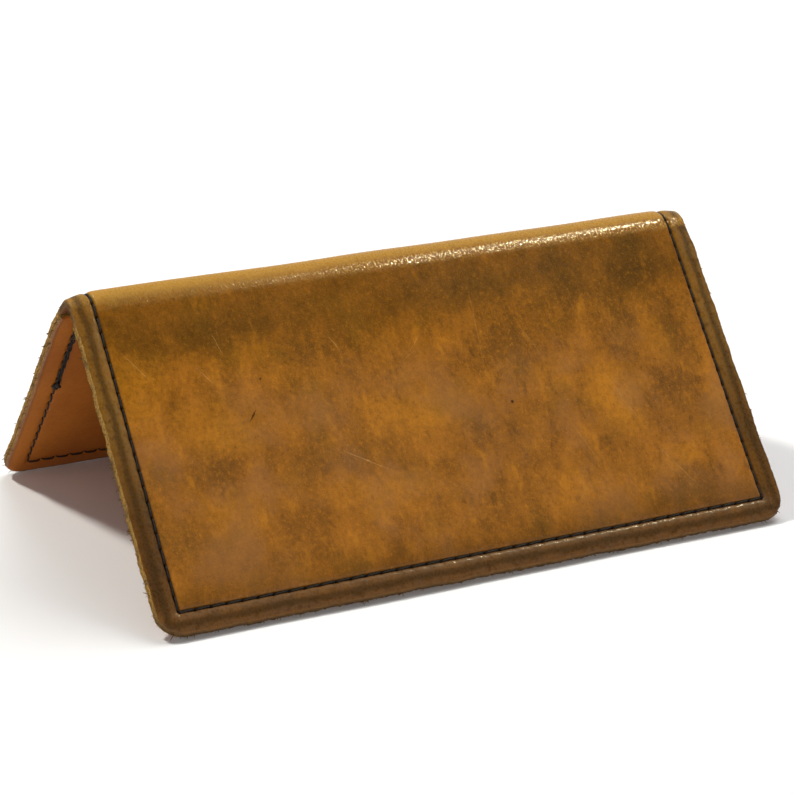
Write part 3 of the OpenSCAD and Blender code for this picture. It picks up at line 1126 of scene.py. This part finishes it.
def make_seam(side, panel):
    """The stitches of one half. The front half takes the two runs over the fold as well."""
    seam = seam_thread(panel + "_seam", side, thread)
    bend(seam)
    front_nodes = ["front_thread", "spine_thread_left", "spine_thread_right"]
    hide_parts(*(front_nodes if side < 0 else ["rear_thread"]))


for side, panel in ((-1, "front"), (1, "rear")):
    make_cover(side, panel)
    make_pocket(side, panel)
    make_seam(side, panel)

DOUBLED_GAP = 0.36
KNOT_SIZE_U = 0.27
KNOT_SIZE_S = 0.42
KNOT_TAILS = ((-1.25, 0.9), (0.75, -1.9), (-0.5, 2.2))


def knot_place():
    """Distance of the knot from the middle of the fold, in the flat layout."""
    low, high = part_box("thread_knot")
    centre = (low + high) / 2 / MM
    over_y = centre.y - FOLD_R * math.sin(LEAN)
    over_z = centre.z - ARC_Z - FOLD_R * math.cos(LEAN)
    return ARC + over_y * math.cos(LEAN) - over_z * math.sin(LEAN)


def doubled_stitches():
    """The back-stitched end of the seam: two strands that cross over each other along it."""
    low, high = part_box("overlap_stitches")
    strands = Strands()
    first = knot_place() - 1.0
    t = np.linspace(0, 1, 11)
    size = THREAD_R * (0.9 + 0.12 * np.sin(math.pi * t))
    for k in range(round((high - low).length / MM / SIDE_P)):
        wave = rng.uniform(-0.12, 0.12) * np.sin(2 * math.pi * t)
        cross = np.cos(math.pi * (k + smooth(t, 0.2, 0.8)))
        s = first - k * SIDE_P - (SIDE_P + 0.25) * t
        for offset, rise in ((DOUBLED_GAP, 0.0), (-DOUBLED_GAP, 0.12)):
            u = -SEAM_U + 0.08 + offset * cross + wave
            h = -LAYERS_T - 0.28 - rise + 0.30 * at_ends(t, 0.09)
            strands.add(u, s, h, size, flatten=0.9)
    return strands.build("doubled_stitches", thread)


def knot():
    """A small, tight knot: a strand wound round itself, with short tails along the seam."""
    strands = Strands()
    s0 = knot_place()
    a = 2 * math.pi * np.linspace(0, 1, 72)
    u = -SEAM_U + KNOT_SIZE_U * (np.sin(a) + 1.5 * np.sin(2 * a))
    s = s0 + KNOT_SIZE_S * (np.cos(a) - 1.5 * np.cos(2 * a))
    h = -LAYERS_T - 0.70 - 0.34 * np.sin(3 * a)
    strands.add(u, s, h, THREAD_R * 1.5, cap=False)
    t = np.linspace(0, 1, 9)
    for du, ds in KNOT_TAILS:
        h = -LAYERS_T - 0.55 + 0.30 * t
        strands.add(-SEAM_U + du * t, s0 + ds * t, h, THREAD_R * (1.15 - 0.5 * t))
    return strands.build("seam_knot", thread)


double = doubled_stitches()
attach(double, "rear")
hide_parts("overlap_stitches")
seam_knot = knot()
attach(seam_knot, "rear")
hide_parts("thread_knot")


# ---- stage ----

WORLD_LOW = 0.55
WORLD_HIGH = 0.06
WARM_WHITE = (1.0, 0.975, 0.90)
SOFT_WHITE = (1.0, 0.98, 0.95)
LAMP_YELLOW = (1.0, 0.93, 0.62)


def make_floor():
    """A plain floor, 6 m wide."""
    size = 3.0
    mesh = bpy.data.meshes.new("floor")
    corners = [(-size, -size, 0), (size, -size, 0), (size, size, 0), (-size, size, 0)]
    mesh.from_pydata(corners, [], [[0, 1, 2, 3]])
    mesh.materials.append(floor_white())
    obj = bpy.data.objects.new("floor", mesh)
    bpy.context.scene.collection.objects.link(obj)


def area_light(name, at, aim, size, power, colour=(1, 1, 1)):
    data = bpy.data.lights.new(name, "AREA")
    data.shape = "RECTANGLE"
    data.size, data.size_y = size
    data.energy = power
    data.color = colour
    obj = bpy.data.objects.new(name, data)
    obj.location = at
    obj.rotation_euler = (Vector(aim) - Vector(at)).to_track_quat("-Z", "Y").to_euler()
    bpy.context.scene.collection.objects.link(obj)
    return obj


def make_world():
    """Bright low down, like a white sweep of paper all round, and dim overhead."""
    world = bpy.data.worlds.new("world")
    world.use_nodes = True
    tree = world.node_tree
    background = tree.nodes["Background"]
    direction = tree.nodes.new("ShaderNodeTexCoord")
    parts = tree.nodes.new("ShaderNodeSeparateXYZ")
    ramp = tree.nodes.new("ShaderNodeValToRGB")
    tree.links.new(direction.outputs["Generated"], parts.inputs[0])
    tree.links.new(parts.outputs[2], ramp.inputs[0])
    tree.links.new(ramp.outputs[0], background.inputs[0])
    low, high = ramp.color_ramp.elements
    low.position = 0.42
    low.color = (WORLD_LOW, WORLD_LOW, WORLD_LOW, 1)
    high.position = 0.66
    high.color = (WORLD_HIGH, WORLD_HIGH, WORLD_HIGH, 1)
    bpy.context.scene.world = world


def make_lights():
    """Two lamps behind, one to each side, a soft fill in front and a small one for the fold's glint."""
    middle = (0, 0, 0.04)
    right = area_light("right_rear", (0.45, 0.36, 1.05), middle, (0.9, 0.9), power=10.5)
    right.visible_glossy = False
    area_light("left_rear", (-0.42, 0.46, 0.98), middle, (0.12, 0.12), power=8.0, colour=WARM_WHITE)
    area_light("front_fill", (-0.25, -1.35, 0.45), (0, 0, 0.03), (1.1, 0.5), power=4, colour=SOFT_WHITE)
    above_fold = (0.385, -0.048, 0.605)
    glint = area_light("glint", above_fold, (0.055, 0, 0.065), (0.04, 0.04), power=3.3, colour=LAMP_YELLOW)
    glint.visible_diffuse = False


make_floor()
make_world()
make_lights()
bpy.context.scene.view_settings.view_transform = "Standard"
